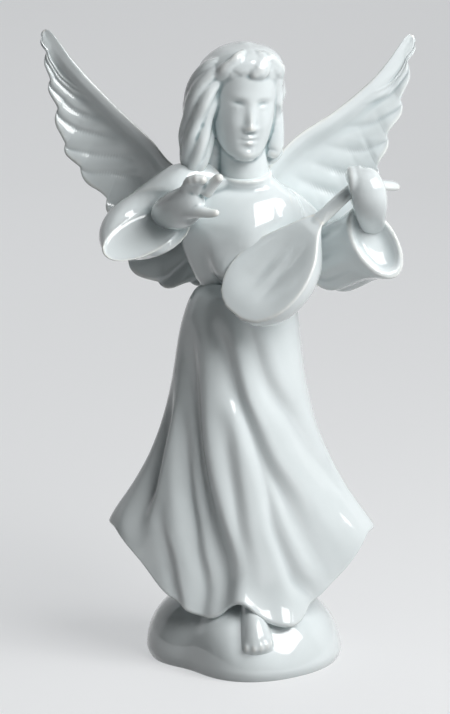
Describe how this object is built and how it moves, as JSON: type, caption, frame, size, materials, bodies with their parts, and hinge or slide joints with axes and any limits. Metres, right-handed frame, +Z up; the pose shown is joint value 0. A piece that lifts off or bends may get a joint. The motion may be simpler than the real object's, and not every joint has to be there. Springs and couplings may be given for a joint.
{
  "type": "angel figurine",
  "caption": "Standing glazed porcelain angel in a flared gown with spread wings, holding a plain lute, one bare foot showing, on a rounded boulder base with a flat underside.",
  "frame": {"origin": "centre of the flat underside of the base, on the surface it stands on", "axes": "+Z up, the figure faces -Y, and the figure's own left hand is towards +X"},
  "size_m": [0.1564, 0.0855, 0.261],
  "materials": {
    "porcelain": "clear gloss glaze over cool white porcelain"
  },
  "bodies": {
    "root": {"base_mound": "porcelain", "bare_foot": "porcelain", "skirt": "porcelain", "bodice": "porcelain", "head": "porcelain", "right_sleeve": "porcelain", "left_sleeve": "porcelain", "right_hand": "porcelain", "left_hand": "porcelain", "right_wing": "porcelain", "left_wing": "porcelain", "lute_body": "porcelain", "lute_neck": "porcelain"}
  },
  "joints": []
}
